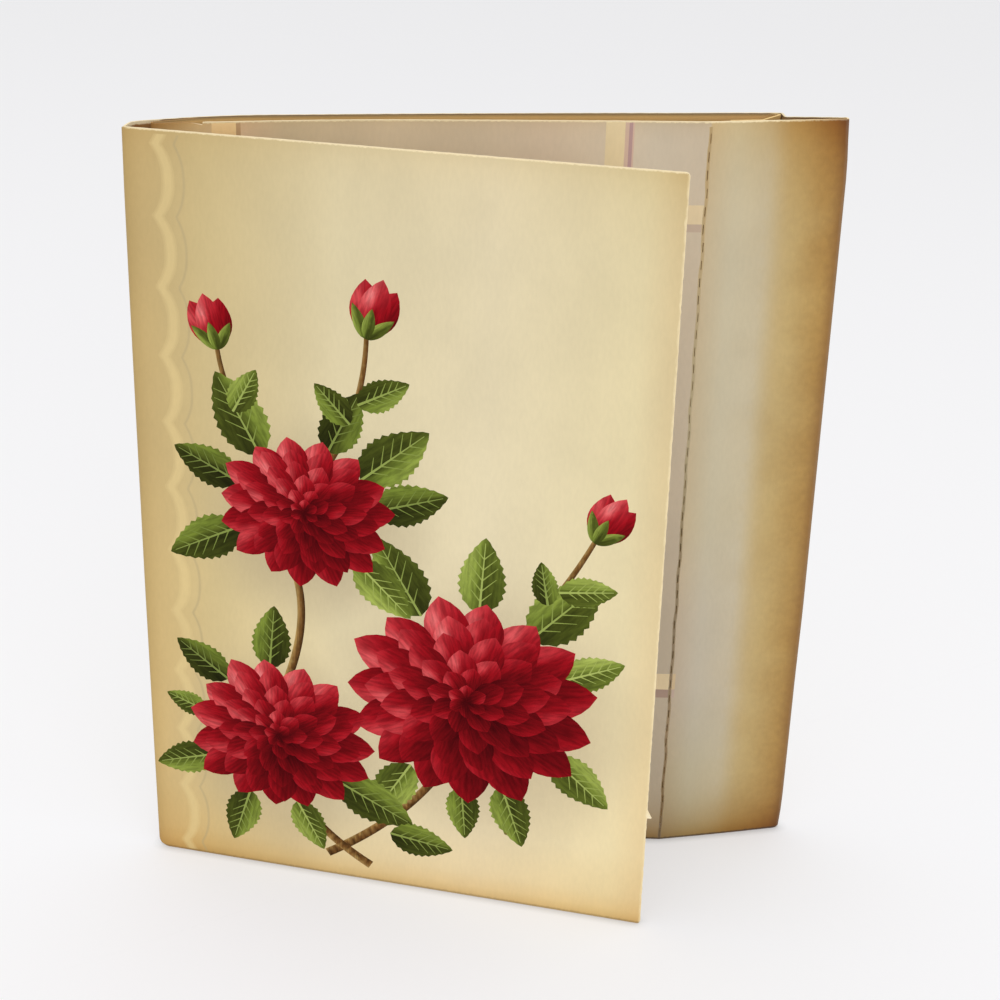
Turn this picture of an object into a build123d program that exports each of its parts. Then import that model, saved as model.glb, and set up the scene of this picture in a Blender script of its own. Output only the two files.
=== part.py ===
import os
from math import radians, tan

from build123d import *

# Greeting card: one sheet of card, roll folded and standing a little open.
# In plan the front cover lies along X, the folded back swings away behind it, and Z is up.
# The sheet runs on from panel to panel: front cover, spine, back, margin strip, page,
# lining, riser and glue tab.

# Sheet
card_height = 152.4
paper = 0.4

# Panels, with the places of their folds measured along the back from the spine
cover_width = 101.35
back_width = 131.1
margin_width = 26.0
page_fold_inset = 5.8
lining_tip_inset = 11.45
step_inset = 11.45
step_run = 0.1
riser_run = 4.8
tab_width = 6.0

# Stance: how far the back opens, and how far the panels stand out from its chord
opening_angle = 18.33
margin_tilt = 4.3
spine_lean = 2.4
spine_depth = 3.0
swell_inset = 17.0
swell_depth = 6.3
bow_inset = 61.0
bow_depth = 6.1
tip_depth = 4.1
step_depth = 1.4
page_bow_inset = 46.0
page_bow_depth = 3.1
page_fold_depth = 1.6

# Folds and gaps between layers
fold_gap = 0.4
layer_gap = 0.3
glue_gap = 0.1
spine_front_radius = 1.0
spine_back_radius = 2.0
tip_radius = 0.5
crease_radius = 0.6
soft_bend_share = 0.6
fold_roundness = 0.48

# Perforated line between the margin strip and the page
slit_length = 2.1
slit_width = 0.2
slit_pitch = 3.4
slit_end_land = 2.0

# Wear
cover_corner_radius = 0.8
upper_spine_corner_radius = 1.0
lower_spine_corner_radius = 2.8
upper_fold_corner_radius = 0.6
lower_fold_corner_radius = 1.2
flake_height = 25.6
flake_length = 1.7
flake_reach = 0.8
tear_inset = 14.0
tear_length = 2.2
tear_depth = 0.5

fold_pitch = paper + fold_gap
fold_radius = fold_roundness * fold_pitch
layer_pitch = paper + layer_gap
tab_pitch = paper + glue_gap


def behind(along, away):
    """Plan point measured along the back's chord from the spine, and away behind it."""
    return Vector(along, away).rotate(Axis.Z, opening_angle)


def behind_margin(along, clear):
    """Plan point on or behind the margin strip, which slopes forward from the right-hand fold."""
    slope = Vector(along - back_width, clear).rotate(Axis.Z, margin_tilt)
    return behind(back_width + slope.X, slope.Y - fold_pitch / 2)


def soft_radius(before, corner, after):
    """Radius of a soft bend, which takes up a share of the shorter run beside its corner."""
    turn = (corner - before).get_angle(after - corner)
    run = min((corner - before).length, (after - corner).length)
    return soft_bend_share * run / tan(radians(turn / 2))


lining_tip = back_width - lining_tip_inset
step_foot = back_width - step_inset
tab_start = lining_tip - riser_run
perforation = behind_margin(back_width - margin_width, 0)
cover_edge = Vector(cover_width, 0)
tab_edge = behind_margin(tab_start - tab_width, tab_pitch)

# Corners of the sheet's middle line in plan, each with its radius, or None where the sheet bends softly
corners = [
    (behind(0, 0), spine_front_radius),
    (behind(spine_lean, spine_depth), spine_back_radius),
    (behind(swell_inset, swell_depth), None),
    (behind(bow_inset, bow_depth), None),
    (behind(step_foot - step_run, tip_depth), crease_radius),
    (behind(step_foot, step_depth), crease_radius),
    (behind(back_width, fold_pitch / 2), fold_radius),
    (behind(back_width, -fold_pitch / 2), fold_radius),
    (perforation, crease_radius),
    (behind(page_bow_inset, page_bow_depth), None),
    (behind(page_fold_inset, page_fold_depth), fold_radius),
    (behind(page_fold_inset, page_fold_depth + fold_pitch), fold_radius),
    (behind(swell_inset, swell_depth - layer_pitch), None),
    (behind(bow_inset, bow_depth - layer_pitch), None),
    (behind(lining_tip, tip_depth - layer_pitch), tip_radius),
    (behind_margin(tab_start, tab_pitch), crease_radius),
]
points = [cover_edge, *[point for point, radius in corners], tab_edge]
radii = [
    radius or soft_radius(before, point, after)
    for before, (point, radius), after in zip(points, corners, points[2:])
]

with BuildLine() as fold_line:
    FilletPolyline(points, radius=radii)

plan_box = fold_line.line.bounding_box()
spine = Vector(-plan_box.center().X, -plan_box.center().Y)
left_end = spine.X + plan_box.min.X - paper / 2
right_end = spine.X + plan_box.max.X + paper / 2
along_back = behind(1, 0)
forward = behind(0, -1)
slit_count = int((card_height - 2 * slit_end_land - slit_length) / slit_pitch) + 1

with BuildPart() as folded_card:
    # The folded sheet
    with BuildSketch(Plane(origin=spine)):
        trace(fold_line.line, line_width=paper)
    extrude(amount=card_height)

    # Rubbed corners at the cover's free edge
    free_corners = folded_card.edges().filter_by(Axis.Y).sort_by(Axis.X)[-2:]
    fillet(free_corners, radius=cover_corner_radius)

    # Corners worn round at the spine and at the right-hand fold
    with BuildSketch(Plane.XZ):
        for fold_x, inward, edge_z, into, radius in (
            (left_end, 1, 0, 1, lower_spine_corner_radius),
            (left_end, 1, card_height, -1, upper_spine_corner_radius),
            (right_end, -1, 0, 1, lower_fold_corner_radius),
            (right_end, -1, card_height, -1, upper_fold_corner_radius),
        ):
            with Locations((fold_x, edge_z)):
                Rectangle(2 * radius, 2 * radius)
            with Locations((fold_x + inward * radius, edge_z + into * radius)):
                Circle(radius, mode=Mode.SUBTRACT)
    extrude(amount=back_width, both=True, mode=Mode.SUBTRACT)

    # Perforated line: a row of slits through the crease
    with BuildSketch(Plane(spine + perforation + Vector(0, 0, card_height / 2), along_back, forward)):
        with GridLocations(0, slit_pitch, 1, slit_count):
            Rectangle(slit_width, slit_length)
    extrude(amount=2 * paper, both=True, mode=Mode.SUBTRACT)

    # Short tear in the page's top edge
    tear_spot = behind(tear_inset, page_fold_depth) + Vector(0, 0, card_height)
    with BuildSketch(Plane(spine + tear_spot, along_back, forward)):
        with BuildLine():
            Polyline((-tear_length / 2, 0), (tear_length / 2, 0), (tear_length / 2, -tear_depth), close=True)
        make_face()
    extrude(amount=2 * paper, both=True, mode=Mode.SUBTRACT)

    # Torn flake that stands out from the cover's free edge
    with BuildSketch(Plane.XZ.offset(-spine.Y)):
        with Locations((spine.X + cover_width, flake_height)):
            Triangle(a=flake_reach, c=flake_length, B=90, align=(Align.MIN, Align.CENTER))
    extrude(amount=paper / 2)

folded_card.part.label = "folded_card"

os.makedirs("parts", exist_ok=True)
export_step(folded_card.part, "parts/folded_card.step")
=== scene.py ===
import math

import bpy
import numpy as np
from mathutils import Matrix, Vector
from mathutils.geometry import delaunay_2d_cdt


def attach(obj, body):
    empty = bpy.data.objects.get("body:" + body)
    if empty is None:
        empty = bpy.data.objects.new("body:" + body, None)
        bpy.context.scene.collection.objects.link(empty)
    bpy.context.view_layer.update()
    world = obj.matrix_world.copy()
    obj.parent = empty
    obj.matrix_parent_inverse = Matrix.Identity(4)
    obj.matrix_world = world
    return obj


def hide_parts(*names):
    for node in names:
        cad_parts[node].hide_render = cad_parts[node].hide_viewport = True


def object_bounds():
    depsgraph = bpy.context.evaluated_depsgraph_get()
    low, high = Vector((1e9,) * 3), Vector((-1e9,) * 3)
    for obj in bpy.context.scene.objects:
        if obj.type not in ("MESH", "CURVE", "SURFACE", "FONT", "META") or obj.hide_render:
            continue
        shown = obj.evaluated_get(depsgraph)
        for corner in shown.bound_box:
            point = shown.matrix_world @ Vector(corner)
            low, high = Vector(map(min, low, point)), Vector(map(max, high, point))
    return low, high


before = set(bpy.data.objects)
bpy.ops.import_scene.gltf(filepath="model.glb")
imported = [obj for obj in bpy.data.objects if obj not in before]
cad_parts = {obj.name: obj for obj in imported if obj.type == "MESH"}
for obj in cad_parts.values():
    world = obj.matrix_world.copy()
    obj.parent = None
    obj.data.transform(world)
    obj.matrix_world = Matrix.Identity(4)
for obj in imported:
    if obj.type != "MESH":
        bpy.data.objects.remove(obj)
cad_low, cad_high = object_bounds()

# Looks of a greeting card: the folded sheet is triangulated flat, printed, and folded up again.
# Lengths are in millimetres until the mesh is made. A sheet point is its run along the sheet from the
# cover's free edge, and its height. A cover point is its distance from the spine, and its height.
metre = 0.001
dice = np.random.default_rng(7)

# Sheet
card_height = 152.4
paper = 0.4
cover_width = 101.35
back_width = 131.1
margin_width = 26.0
page_fold_inset = 5.8
lining_tip_inset = 11.45
step_inset = 11.45
step_run = 0.1
riser_run = 4.8
tab_width = 6.0
# Stance
opening_angle = 18.33
margin_tilt = 4.3
spine_lean = 2.4
spine_depth = 3.0
swell_inset = 17.0
swell_depth = 6.3
bow_inset = 61.0
bow_depth = 6.1
tip_depth = 4.1
step_depth = 1.4
page_bow_inset = 46.0
page_bow_depth = 3.1
page_fold_depth = 1.6
# Folds and gaps between layers
fold_pitch = 0.8
layer_pitch = 0.7
tab_pitch = 0.5
fold_radius = 0.384
spine_front_radius = 1.0
spine_back_radius = 2.0
tip_radius = 0.5
crease_radius = 0.6
soft_bend_share = 0.6
tightest_soft_radius = 10.0
# Perforated line. Its sways are waves, as length and phase, and its slits open more or less with height.
slit_length = 2.1
slit_width = 0.2
slit_pitch = 3.4
slit_count = 44
slit_point = 0.75
slit_wander = 0.05
line_wander = 0.13
line_sways = [(1.9, 0.8), (4.7, 0.0), (1.1, 2.0)]
slit_openness = [(0, 0.85), (55, 0.8), (64, 0.9), (76, 0.75), (90, 0.45), (106, 0.6), (150, 0.8)]
slit_length_spread = (0.94, 1.0)
slit_width_spread = (0.85, 1.1)
lowest_slit_width = 0.09
# Wear
cover_corner_radius = 0.8
upper_spine_corner_radius = 1.0
lower_spine_corner_radius = 2.8
upper_fold_corner_radius = 0.6
lower_fold_corner_radius = 1.2
flake_height = 25.6
flake_length = 1.7
flake_reach = 0.8
tear_inset = 14.0
tear_length = 2.2
tear_depth = 0.5
ragged_depth = 0.05
ragged_turns = (1.9, 4.3)
bottom_phase = 0.7
top_phase = 2.9
free_edge_phase = 1.3
free_edge_fray = 0.14
fray_shape = (1.0, 4.0)
ripple_depth = 0.2
ripple_lengths = (23.0, 17.0)
ripple_phases = (0.4, 1.2)
ripple_fade = 15.0
blotch_count = 700
blotch_sizes = (1.4, 3.2)
blotch_depth = 0.04
# How far the folded ends are pressed in, as height and inset
spine_press = [(0, 0.4), (60, 0.0), (140, 0.0), (152, 0.12)]
fold_press = [
    (0, 0.75), (3, 0.5), (8, 0.36), (20, 0.28), (36, 0.2),
    (52, 0.0), (143, 0.0), (148, 0.3), (152, 0.5),
]
spine_press_width = 12.0
fold_press_width = 26.0
# How far the perforated crease leans back at the top and forward at the bottom, and its share on the page
lean_depth = 1.2
page_lean = [(20, 0.62), (29, 0.4), (45, 0.0)]

# Mesh
arc_step = math.radians(10)
arc_length_step = 3.0
edge_step = 1.6
free_edge_step = 0.8
folded_end_step = 0.3
folded_end_reach = 3.0
column_step = 3.8
corner_points = 6
tear_clearance = 0.1
tear_lip = 0.05
flake_clearance = 0.2
flake_lip = 0.1
flake_root = 0.02
clear_of_edges = 0.45
clear_of_slits = 0.6
clear_of_columns = 1.0
clear_of_ends = 0.5
clear_of_bottom = 1.0
clear_of_spine = 1.2
clear_of_back = 1.0
clear_of_folds = 0.8
clear_of_crease = 0.7
lining_cut_start = 8.0
tip_cut_reach = 1.5
print_step = 0.85
cover_step = 1.75
page_step = 2.3
hidden_step = 3.8
row_share = 0.87
scatter_jitter = 0.12
merge_distance = 0.0001
smallest_area = 1e-9
sheet_start = -2.0
# Map for baked pictures: columns of the sheet's start, spine and end, and first row and height, of each face
front_columns = [0.005, 0.4, 0.995]
plain_columns = [0.005, 0.25, 0.995]
front_rows = (0.33, 0.62)
plain_rows = (0.01, 0.3)
wall_rows = [0.97, 0.97, 0.985, 0.985]
map_scale = 100.0
# Values of the front layer on the printed face, on the other face and on the cut edges
on_front = 1.0
on_back = 0.0
on_wall = 0.5

# Stripes on the page, from the lowest layer up, with their colours: upright ones between two distances from
# the inner fold, and level ones between two heights
page_stripes = [
    ("upright", 15.2, 16.0, (199, 162, 121)),
    ("upright", 84.65, 86.3, (212, 182, 162)),
    ("level", 131.8, 133.3, (193, 172, 151)),
    ("level", 34.0, 35.9, (166, 141, 126)),
    ("upright", 10.85, 15.2, (250, 215, 158)),
    ("upright", 81.2, 84.65, (232, 211, 168)),
    ("level", 133.3, 136.9, (223, 202, 163)),
    ("level", 35.9, 39.5, (223, 202, 163)),
    ("upright", 85.35, 86.0, (185, 151, 148)),
]
# Parts of the lower stripe that run on past the perforated line
overrun_stripes = [(34.0, 35.9, (186, 164, 148)), (35.9, 39.5, (204, 180, 142))]
overrun = 0.9
stripe_gap = 0.25
stripe_end_gap = 1.0
stripe_edge_gap = 0.2
# Crease along the perforated line: painted shade of the bend with some bruising
crease_width = 0.66
crease_core_width = 0.4
crease_width_spread = (0.9, 1.1)
crease_end_gaps = (0.15, 0.1)
crease_step = 0.85
# Scalloped border on the cover
scallop_period = 13.4
scallop_top = 149.9
scallop_cusp = 6.4
scallop_bulge = 2.2
scallop_roundness = 2.4
scallop_layers = [(2.5, 0.26), (1.8, 0.46), (1.2, 0.64)]
hairline_cusp = 9.9
hairline_bulge = 1.7
hairline_layers = [(0.7, 0.16), (0.35, 0.42)]
border_inset = 0.4
border_step = 0.6
# Flower sprays on the cover: each bloom's middle, reach and first petal's heading
blooms = [(65.0, 45.0, 25.0, 10.0), (27.0, 31.0, 19.5, 25.0), (33.0, 81.0, 17.5, 4.0)]
# Headings of the leaves behind each bloom, and their lengths
bloom_leaves = [
    [(22, 13), (52, 19), (84, 16), (118, 18), (236, 15), (268, 12), (292, 14), (330, 15)],
    [(96, 14), (132, 13), (168, 9), (206, 13), (246, 13), (284, 12), (325, 17)],
    [(8, 15), (36, 17), (70, 14), (128, 18), (160, 14), (200, 16), (318, 15)],
]
bloom_leaf_start = 0.78
bloom_leaf_tones = (0.12, 0.48)
leaf_swing = 14.0
# Buds: place, heading and length
buds = [(45.0, 117.0, 74.0, 12.0), (17.0, 112.0, 104.0, 11.0), (88.0, 82.0, 60.0, 11.0)]
# A bud's petals as heading, share of the length and tone, and its sepals as heading and share of the length
bud_petals = [(-16, 0.92, 0.2), (16, 0.95, 0.28), (0, 1.0, 0.4)]
bud_sepals = [(-38, 0.55), (36, 0.6), (4, 0.5)]
bud_petal_width = 0.5
sepal_width = 0.2
sepal_tone = 0.35
# Stems: start, bend, end and the widths at both ends
stems = [
    ((31.0, 68.0), (34.0, 58.0), (29.0, 44.0), 1.5, 1.7),
    ((38.0, 92.0), (45.0, 104.0), (45.2, 118.5), 1.4, 0.9),
    ((28.0, 90.0), (18.0, 100.0), (16.7, 113.5), 1.3, 0.9),
    ((76.0, 62.0), (83.0, 71.0), (88.7, 83.5), 1.4, 0.9),
    ((60.0, 28.0), (52.0, 15.0), (37.0, 5.0), 1.6, 1.9),
    ((30.0, 20.0), (33.0, 11.0), (46.0, 3.6), 1.6, 1.9),
]
# Small leaves on the stems: place, heading and length
stem_leaves = [
    (43.5, 104.0, 28.0, 11.0), (42.0, 100.0, 132.0, 10.0), (19.5, 100.0, 62.0, 10.0),
    (82.0, 71.0, 8.0, 11.0), (80.0, 68.0, 100.0, 9.0), (50.0, 12.0, 352.0, 13.0),
]
stem_leaf_tones = (0.2, 0.5)
# Rings of petals in a bloom: count, share of the reach where they start and end, and width as a share
petal_rings = [
    (15, 0.30, 1.00, 0.36), (14, 0.24, 0.86, 0.32), (12, 0.16, 0.69, 0.28), (10, 0.08, 0.51, 0.24),
    (8, 0.02, 0.33, 0.19), (6, 0.00, 0.17, 0.12),
]
bloom_squash = 0.9
ring_twist = 17.0
petal_swing = 0.12
petal_length_spread = (0.93, 1.03)
# Light on a bloom: the tones of its petals, and how the parts of a petal are lit
light_heading = 120.0
petal_tone = 0.2
petal_turn_light = 0.16
petal_tone_spread = 0.07
ring_darkening = 0.025
petal_tip_light = 0.42
petal_side_light = 0.14
petal_rim_light = 0.16
petal_fold_depth = 0.3
petal_fold_width = 0.25
petal_shadow_depth = 0.14
petal_base_shadow = 0.22
gleam_strength = 0.8
gleam_place = (0.66, 0.4)
gleam_size = (0.2, 0.35)
# Fullness of the blades: above 1 they are widest towards the tip, below 1 towards the base
petal_fullness = 1.25
bud_fullness = 1.0
sepal_fullness = 0.8
leaf_fullness = 0.75
blade_roundness = 0.8
blade_points = 11
toothed_points = 21
# Leaves and their veins, as shares of the leaf
leaf_width = 0.52
leaf_teeth = 0.14
leaf_side_light = 0.2
leaf_side_edge = 4.0
leaf_tip_light = 0.22
leaf_rim_light = 0.14
leaf_hollow_depth = 0.12
leaf_hollow_width = 0.3
vein_places = (0.16, 0.3, 0.44, 0.58, 0.72)
vein_angle = 42.0
vein_reach = 0.5
vein_widths = (0.26, 0.1)
vein_points = 4
vein_light = 0.42
midrib_reach = 0.93
midrib_width = 0.5
midrib_narrowing = 0.4
midrib_points = 12
midrib_glow = 12
stem_points = 24
stem_light = 0.5
# Brush strokes: their stretch along a blade or stem, their rows across it and the range of their places
stroke_stretch = 0.12
stem_stroke_stretch = 0.1
stroke_rows = 2.5
stroke_places = 50

# Colours out of 255 with where they stand on their scale, and how deep and how far browning and shade go
cover_across = [
    (0, (186, 158, 101)), (3, (200, 173, 117)), (14, (207, 186, 134)), (40, (222, 208, 168)),
    (68, (228, 214, 177)), (94, (228, 213, 169)), (100, (221, 200, 153)),
]
corner_toning = np.array([0.06, 0.075, 0.12])
corner_toning_reach = 9.0
top_toning = 0.25
edge_toning = [
    (0, (0.89, 0.79, 0.62)), (2, (0.96, 0.89, 0.78)), (6, (0.985, 0.95, 0.9)), (16, (1.0, 0.99, 0.98)),
    (60, (1.0, 1.0, 1.0)),
]
margin_across = [
    (0.00, (190, 173, 141)), (0.20, (195, 185, 158)), (0.44, (196, 183, 153)), (0.58, (191, 167, 117)),
    (0.65, (190, 164, 110)), (0.90, (173, 136, 74)), (1.00, (134, 94, 48)),
]
margin_glow = [
    (0, 0.07), (10, 0.05), (68, 0.05), (85, 0.035), (100, 0.01), (112, 0.0), (124, -0.03), (145, -0.05),
]
margin_cooling = [(80, 0.0), (100, 0.05), (118, 0.06), (135, 0.0)]
margin_paleness = [(0, 1.0), (0.769, 0.0)]
margin_blotching = [(0.1875, 0.0), (0.8125, 1.0)]
margin_bottom_browning = [(0, 1.0), (1, 1.6)]
margin_top_browning = 1.5
margin_top_paleness = 0.05
margin_top_reach = 9.0
margin_bottom_reach = 6.0
margin_crease_shade = 0.09
margin_crease_share = 1 / 12
margin_crease_reach = 14.0
margin_top_yellowing = np.array([0.0, 0.05, 0.15])
page_across = [
    (0, (206, 168, 113)), (8, (238, 211, 164)), (16, (234, 205, 170)), (24, (222, 203, 170)),
    (43, (227, 208, 178)), (60, (218, 200, 174)), (71, (222, 202, 177)), (77, (226, 207, 181)),
    (90, (211, 197, 175)), (98, (206, 190, 166)),
]
back_across = [(0, (190, 160, 106)), (12, (206, 184, 138)), (45, (216, 201, 163))]
toned_margin = np.array([0.2, 0.31, 0.52])
# How far the painted shade inside the right-hand fold and the spine reaches on the unprinted face
fold_shade_reach = 24.0
spine_shade_reach = 14.0
inner_fold_reach = 8.0
page_top_browning = [(0, 0.24), (1, 0.94)]
page_top_reach = 1.7
page_bottom_browning = 1.2
page_bottom_reach = 5.0
back_edge_browning = 0.7
back_edge_reach = 4.0
plain_edge_browning = 0.3
plain_edge_reach = 2.5
spine_rim_start = 1.0
spine_rim_reach = 4.5
# Painted shade on the page: darker towards the bottom, where the cover shades it
page_shade_by_height = [
    (0, 0.86), (8, 0.87), (20, 0.9), (50, 0.925), (70, 0.945), (85, 0.975), (105, 0.985), (118, 0.98),
    (152, 1.0),
]
# Painted light on the cover: paler towards the bottom
cover_light_by_height = [(0, 1.035), (25, 1.05), (50, 1.03), (80, 0.995), (130, 0.97)]
scallop_colour = (222, 198, 140)
hairline_colour = (176, 158, 118)
plain_side = (221, 206, 168)
# Lining on the unprinted face: pale just under its top edge, darker deeper down as painted shade in the gap
# behind the page
lining_side = (250, 214, 150)
lining_deep_shade = (196, 152, 96)
lining_shade_reach = 3.0
lining_outside = (206, 168, 104)
cut_edge = (255, 236, 194)
lining_cut_edge = (104, 74, 38)
old_cut_edge = (172, 126, 68)
fold_cut_edge = (206, 166, 108)
riser_cut_edge = (246, 210, 140)
cut_edge_spread = (0.93, 1.0)
fold_cut_gap = 12.0
clear_of_slit_ends = 0.5
torn_core = (250, 244, 230)
fold_inside_shade = (158, 110, 60)
# Painted shade of the bent crease with some bruising, darker low down
crease_shade_tones = [
    (0, (132, 110, 80)), (10, (146, 126, 94)), (27, (158, 140, 112)), (48, (156, 139, 113)),
    (70, (168, 151, 122)), (92, (186, 171, 140)), (112, (188, 170, 136)), (150, (194, 170, 126)),
]
crease_core_shade_tones = [
    (0, (104, 84, 56)), (10, (124, 101, 68)), (27, (150, 127, 96)), (48, (139, 122, 96)),
    (69, (146, 129, 98)), (90, (178, 164, 130)), (112, (182, 165, 129)), (140, (186, 160, 116)),
    (150, (180, 154, 110)),
]
slit_wall = (214, 190, 144)
shade_colour = np.array([168, 152, 122])
shade_strength = 0.55
shade_shift = (2.5, -3.0)
shade_squash = 0.95
shade_reach = 1.12
petal_tones = [
    (0.0, (72, 3, 8)), (0.35, (116, 8, 16)), (0.5, (146, 13, 24)), (0.75, (184, 52, 58)),
    (0.96, (218, 97, 98)), (1.15, (236, 150, 146)),
]
leaf_tones = [
    (0.0, (34, 36, 10)), (0.3, (68, 75, 24)), (0.6, (112, 127, 48)), (0.85, (150, 164, 76)),
    (1.05, (186, 197, 110)),
]
stem_tones = [(0.0, (62, 40, 18)), (0.5, (116, 78, 38)), (1.0, (170, 140, 84))]

# Material. Noises are scale, detail and stretch, and changes are low, high, start and end.
cloud_noise = (9.0, 4.0, (1.0, 0.55, 1.0))
fibre_noise = (160.0, 3.0, (1.0, 0.35, 1.0))
grain_noise = (420.0, 2.0)
mottle_noise = (70.0, 3.0)
stroke_noise = (2.6, 3.0, (1.0, 1.0, 0.0))
cloud_shades = (0.3, 0.7, 0.967, 1.027)
fibre_shades = (0.25, 0.75, 0.98, 1.014)
mottle_shades = (0.3, 0.7, 0.955, 1.045)
stroke_shades = (0.3, 0.7, 0.72, 1.22)
margin_blend = 8.0
spine_blend = 2.0
speck_scale = 7.0
speck_sizes = (0.72, 1.0, 0.0, 0.035)
speck_strength = 0.55
speck_tone = (0.16, 0.075, 0.03, 1.0)
# Wear, painted highlight along the top and painted shade along the foot and the inside's top edges, with how
# far the fibres make them ragged, in linear colours
free_edge_rub = (0.45, 0.95, 0.6, 0.0)
free_edge_raggedness = 0.9
# Pale rim along the top: rubbed print and a painted highlight where the rounded edge catches the light
top_rim_rub_and_highlight = (0.34, 0.62, 1.0, 0.0)
top_raggedness = 0.5
cover_rim_share = 0.75
margin_rim_shares = (0.2, 0.85)
rubbed_and_highlight_tone = (0.95, 0.8, 0.5, 1.0)
fold_rub = (0.4, 1.3, 0.28, 0.0)
fold_raggedness = 0.5
fold_rub_tone = (0.36, 0.3, 0.22, 1.0)
spine_rim_rub = (0.7, 1.0, 0.85, 0.0)
spine_rim_tone = (0.93, 0.81, 0.55, 1.0)
# Painted shade with some soil along the foot, and painted shade with some dust along the inside's top edges
foot_soil_and_shade = (0.45, 0.8, 0.75, 0.0)
foot_raggedness = 0.4
cover_soil_and_shade_share = 0.45
top_dust_and_shade = (0.1, 0.6, 0.5, 0.0)
soil_and_shade_tone = (0.06, 0.042, 0.03, 1.0)
roughness = (0.3, 0.7, 0.62, 0.74)
painted_smoothness = 0.08
gloss = 0.3
painted_dullness = 0.27
relief_strength = 0.25
relief_depth = 0.00006
relief_grain = 0.5

# Stage, light and camera, in metres
floor_half = 12.0
floor_colour = (0.5, 0.5, 0.505, 1.0)
floor_roughness = 0.9
floor_gloss = 0.1
floor_glow_colour = (0.985, 0.98, 1.0, 1.0)
floor_glow = (-0.2, 0.9, 0.47, 0.35)
# How far the painted contact shadow on the floor reaches from the card
floor_contact_shade_reach = 0.0022
room_colour = (1.0, 1.0, 1.0, 1.0)
room_brightness = (0.0, 1.0, 0.7, 1.05)
lamp_size = 0.9
lamp_power = 4.0
lamp_place = (0.75, -1.25, 0.5)
lamp_target = Vector((0.0, 0.0, 0.07))
camera_place = (0.0797, -0.3606, 0.25497)
camera_yaw = math.radians(-15.12)
camera_pitch = math.radians(25.68)
camera_roll = math.radians(-0.26)
camera_sensor = 36.0
camera_lens = 76.18
camera_shift = 0.1088


# Folded line of the sheet, in plan


def turned(point, degrees):
    """Plan point turned about the spine."""
    angle = math.radians(degrees)
    x, y = point
    return np.array([x * math.cos(angle) - y * math.sin(angle), x * math.sin(angle) + y * math.cos(angle)])


def behind(along, away):
    """Plan point measured along the back's chord from the spine, and away behind it."""
    return turned((along, away), opening_angle)


def behind_margin(along, clear):
    """Plan point on or behind the margin strip."""
    slope = turned((along - back_width, clear), margin_tilt)
    return behind(back_width + slope[0], slope[1] - fold_pitch / 2)


def unit(vector):
    """The vector at length 1."""
    return vector / np.linalg.norm(vector)


def pairs(first, second):
    """Points from their two places, where either can be one number."""
    return np.stack(np.broadcast_arrays(first, second), axis=1)


def graded(value, stops):
    """Number at each value, blended between stops of place and number."""
    return np.interp(value, *zip(*stops))


lining_tip = back_width - lining_tip_inset
step_foot = back_width - step_inset
tab_start = lining_tip - riser_run
corners = [
    (behind(0, 0), spine_front_radius),
    (behind(spine_lean, spine_depth), spine_back_radius),
    (behind(swell_inset, swell_depth), None),
    (behind(bow_inset, bow_depth), None),
    (behind(step_foot - step_run, tip_depth), crease_radius),
    (behind(step_foot, step_depth), crease_radius),
    (behind(back_width, fold_pitch / 2), fold_radius),
    (behind(back_width, -fold_pitch / 2), fold_radius),
    (behind_margin(back_width - margin_width, 0), crease_radius),
    (behind(page_bow_inset, page_bow_depth), None),
    (behind(page_fold_inset, page_fold_depth), fold_radius),
    (behind(page_fold_inset, page_fold_depth + fold_pitch), fold_radius),
    (behind(swell_inset, swell_depth - layer_pitch), None),
    (behind(bow_inset, bow_depth - layer_pitch), None),
    (behind(lining_tip, tip_depth - layer_pitch), tip_radius),
    (behind_margin(tab_start, tab_pitch), crease_radius),
]
cover_edge = np.array([cover_width, 0.0])
tab_edge = behind_margin(tab_start - tab_width, tab_pitch)
points = [cover_edge, *[point for point, radius in corners], tab_edge]

line = [cover_edge]
tight = [False]
corner_spots = []
for before, (corner, radius), after in zip(points, corners, points[2:]):
    coming = unit(corner - before)
    going = unit(after - corner)
    turn = math.atan2(coming[0] * going[1] - coming[1] * going[0], coming @ going)
    half_turn = math.tan(abs(turn) / 2)
    if radius is None:
        radius = soft_bend_share * min(math.dist(before, corner), math.dist(corner, after)) / half_turn
    start = corner - coming * radius * half_turn
    centre = start + math.copysign(radius, turn) * np.array([-coming[1], coming[0]])
    steps = max(2, math.ceil(abs(turn) / arc_step), math.ceil(radius * abs(turn) / arc_length_step))
    corner_spots.append(len(line) + steps // 2)
    for step in range(steps + 1):
        line.append(centre + turned(start - centre, math.degrees(turn) * step / steps))
        tight.append(radius < tightest_soft_radius)
line.append(tab_edge)
tight.append(False)
line = np.array(line)
line -= (line.min(axis=0) + line.max(axis=0)) / 2
run = np.concatenate([[0], np.cumsum(np.linalg.norm(np.diff(line, axis=0), axis=1))])
headings = np.gradient(line, run, axis=0)
headings /= np.linalg.norm(headings, axis=1)[:, None]
faces_out = pairs(-headings[:, 1], headings[:, 0])

sheet_length = run[-1]
spine_run = run[corner_spots[0]]
back_run = run[corner_spots[1]]
fold_run = (run[corner_spots[6]] + run[corner_spots[7]]) / 2
slit_run = run[corner_spots[8]]
page_end_run = (run[corner_spots[10]] + run[corner_spots[11]]) / 2
tear_run = page_end_run - (tear_inset - page_fold_inset)
tip_run = run[corner_spots[14]]
tab_run = run[corner_spots[15]]
# Share of the crease's lean along the sheet: the tab follows the margin strip it is glued behind
lean_stops = [
    (fold_run, 0.0),
    (slit_run, 1.0),
    *[(slit_run + past, share) for past, share in page_lean],
    (tip_run, 0.0),
    (tab_run, (back_width - tab_start) / margin_width),
    (sheet_length, (back_width - tab_start + tab_width) / margin_width),
]
left_end = line[:, 0].min() - paper / 2
right_end = line[:, 0].max() + paper / 2


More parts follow.
